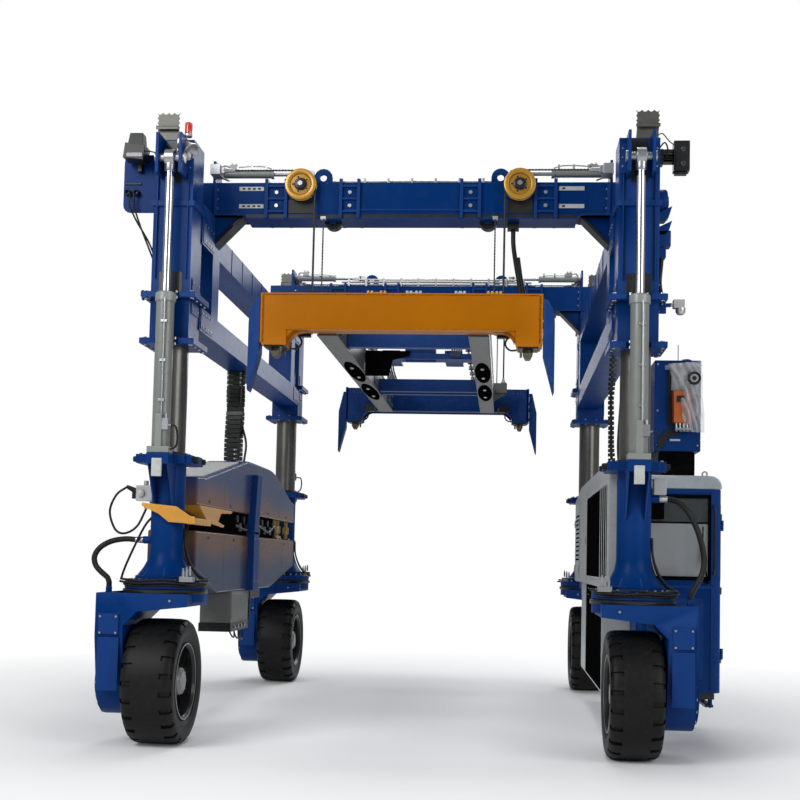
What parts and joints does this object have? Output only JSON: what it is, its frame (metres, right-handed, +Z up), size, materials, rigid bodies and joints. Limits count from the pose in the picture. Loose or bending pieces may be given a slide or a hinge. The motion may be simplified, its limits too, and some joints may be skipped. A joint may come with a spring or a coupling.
{
  "type": "straddle carrier",
  "caption": "Straddle carrier for containers with telescopic legs on steered wheel bogies, a rope-hung spreader, an engine side and a driver's cab.",
  "frame": {"origin": "centre of the machine's footprint box, on the ground under the tyres", "axes": "+Z up, -Y towards the front with the orange spreader beam, +X towards the cab side"},
  "size_m": [5.7715, 6.84, 5.6903],
  "materials": {
    "blue_paint": "gloss",
    "grey_paint": "satin",
    "pale_paint": "satin",
    "orange_paint": "gloss",
    "sheave_paint": "satin",
    "bare_steel": "satin",
    "chrome_rod": "polished",
    "black_rubber": "matt",
    "tyre_rubber": "matt"
  },
  "bodies": {
    "left_side": {"left_front_leg": "blue_paint", "left_rear_leg": "blue_paint", "left_front_lift_barrel": "grey_paint", "left_rear_lift_barrel": "grey_paint", "left_engine_hood": "blue_paint", "left_tank": "blue_paint", "left_tray": "orange_paint", "left_underslung_box": "grey_paint", "left_front_hose": "black_rubber"},
    "upper_frame": {"left_side_frame": "blue_paint", "right_side_frame": "blue_paint", "front_cross_beam": "blue_paint", "rear_cross_beam": "blue_paint", "left_front_lift_rod": "chrome_rod", "left_rear_lift_rod": "chrome_rod", "right_front_lift_rod": "chrome_rod", "right_rear_lift_rod": "chrome_rod", "left_front_rope_cylinder": "grey_paint", "left_rear_rope_cylinder": "grey_paint", "right_front_rope_cylinder": "grey_paint", "right_rear_rope_cylinder": "grey_paint", "left_front_rope": "bare_steel", "left_rear_rope": "bare_steel", "right_front_rope": "bare_steel", "right_rear_rope": "bare_steel"},
    "right_side": {"right_front_leg": "blue_paint", "right_rear_leg": "blue_paint", "right_front_lift_barrel": "grey_paint", "right_rear_lift_barrel": "grey_paint", "right_cabinet": "pale_paint", "loft_cabinet": "blue_paint", "cab_shell": "blue_paint", "cab_seat": "black_rubber", "cab_roof": "pale_paint", "right_front_hose": "black_rubber"},
    "spreader": {"spreader_front_beam": "orange_paint", "spreader_rear_beam": "blue_paint", "spreader_frame": "grey_paint"},
    "cab_door_leaf": {"cab_door": "blue_paint"},
    "left_front_steering": {"left_front_bogie": "blue_paint"},
    "left_front_wheel": {"left_front_tyre": "tyre_rubber", "left_front_rim": "grey_paint"},
    "left_front_rope_sheave": {"left_front_sheave": "sheave_paint"},
    "left_rear_steering": {"left_rear_bogie": "blue_paint"},
    "left_rear_wheel": {"left_rear_tyre": "tyre_rubber", "left_rear_rim": "grey_paint"},
    "left_rear_rope_sheave": {"left_rear_sheave": "sheave_paint"},
    "right_front_steering": {"right_front_bogie": "blue_paint"},
    "right_front_wheel": {"right_front_tyre": "tyre_rubber", "right_front_rim": "grey_paint"},
    "right_front_rope_sheave": {"right_front_sheave": "sheave_paint"},
    "right_rear_steering": {"right_rear_bogie": "blue_paint"},
    "right_rear_wheel": {"right_rear_tyre": "tyre_rubber", "right_rear_rim": "grey_paint"},
    "right_rear_rope_sheave": {"right_rear_sheave": "sheave_paint"}
  },
  "joints": [
    {"name": "left_lift", "type": "slide", "parent": "left_side", "child": "upper_frame", "axis": [0, 0, 1], "range_m": [-0.95, 0.3]},
    {"name": "right_lift", "type": "slide", "parent": "upper_frame", "child": "right_side", "axis": [0, 0, 1], "range_m": [-0.3, 0.95]},
    {"name": "spreader_hoist", "type": "slide", "parent": "upper_frame", "child": "spreader", "axis": [0, 0, 1], "range_m": [-1.45, 0.7], "deforming": ["left_front_rope", "left_rear_rope", "right_front_rope", "right_rear_rope"]},
    {"name": "cab_door_hinge", "type": "hinge", "parent": "right_side", "child": "cab_door_leaf", "pos_m": [2.8112, -1.85, 0.595], "axis": [0, 0, 1], "range_deg": [-100, 0]},
    {"name": "left_front_steer", "type": "hinge", "parent": "left_side", "child": "left_front_steering", "pos_m": [-2.2892, -2.865, 1.34], "axis": [0, 0, 1], "range_deg": [-90, 90]},
    {"name": "left_front_wheel_spin", "type": "hinge", "parent": "left_front_steering", "child": "left_front_wheel", "pos_m": [-2.2892, -2.865, 0.555], "axis": [1, 0, 0], "continuous": true},
    {"name": "left_front_sheave_spin", "type": "hinge", "parent": "upper_frame", "child": "left_front_rope_sheave", "pos_m": [-1.2491, -2.3733, 5.2303], "axis": [0, 1, 0], "continuous": true},
    {"name": "left_rear_steer", "type": "hinge", "parent": "left_side", "child": "left_rear_steering", "pos_m": [-2.2892, 2.865, 1.34], "axis": [0, 0, 1], "range_deg": [-90, 90]},
    {"name": "left_rear_wheel_spin", "type": "hinge", "parent": "left_rear_steering", "child": "left_rear_wheel", "pos_m": [-2.2892, 2.865, 0.555], "axis": [1, 0, 0], "continuous": true},
    {"name": "left_rear_sheave_spin", "type": "hinge", "parent": "upper_frame", "child": "left_rear_rope_sheave", "pos_m": [-1.2491, 2.3733, 5.2303], "axis": [0, 1, 0], "continuous": true},
    {"name": "right_front_steer", "type": "hinge", "parent": "right_side", "child": "right_front_steering", "pos_m": [1.8709, -2.865, 1.34], "axis": [0, 0, 1], "range_deg": [-90, 90]},
    {"name": "right_front_wheel_spin", "type": "hinge", "parent": "right_front_steering", "child": "right_front_wheel", "pos_m": [1.8709, -2.865, 0.555], "axis": [1, 0, 0], "continuous": true},
    {"name": "right_front_sheave_spin", "type": "hinge", "parent": "upper_frame", "child": "right_front_rope_sheave", "pos_m": [0.8309, -2.3733, 5.2303], "axis": [0, 1, 0], "continuous": true},
    {"name": "right_rear_steer", "type": "hinge", "parent": "right_side", "child": "right_rear_steering", "pos_m": [1.8709, 2.865, 1.34], "axis": [0, 0, 1], "range_deg": [-90, 90]},
    {"name": "right_rear_wheel_spin", "type": "hinge", "parent": "right_rear_steering", "child": "right_rear_wheel", "pos_m": [1.8709, 2.865, 0.555], "axis": [1, 0, 0], "continuous": true},
    {"name": "right_rear_sheave_spin", "type": "hinge", "parent": "upper_frame", "child": "right_rear_rope_sheave", "pos_m": [0.8309, 2.3733, 5.2303], "axis": [0, 1, 0], "continuous": true}
  ],
  "couplings": [
    {"joint": "right_lift", "follows": "left_lift", "ratio": -1}
  ]
}
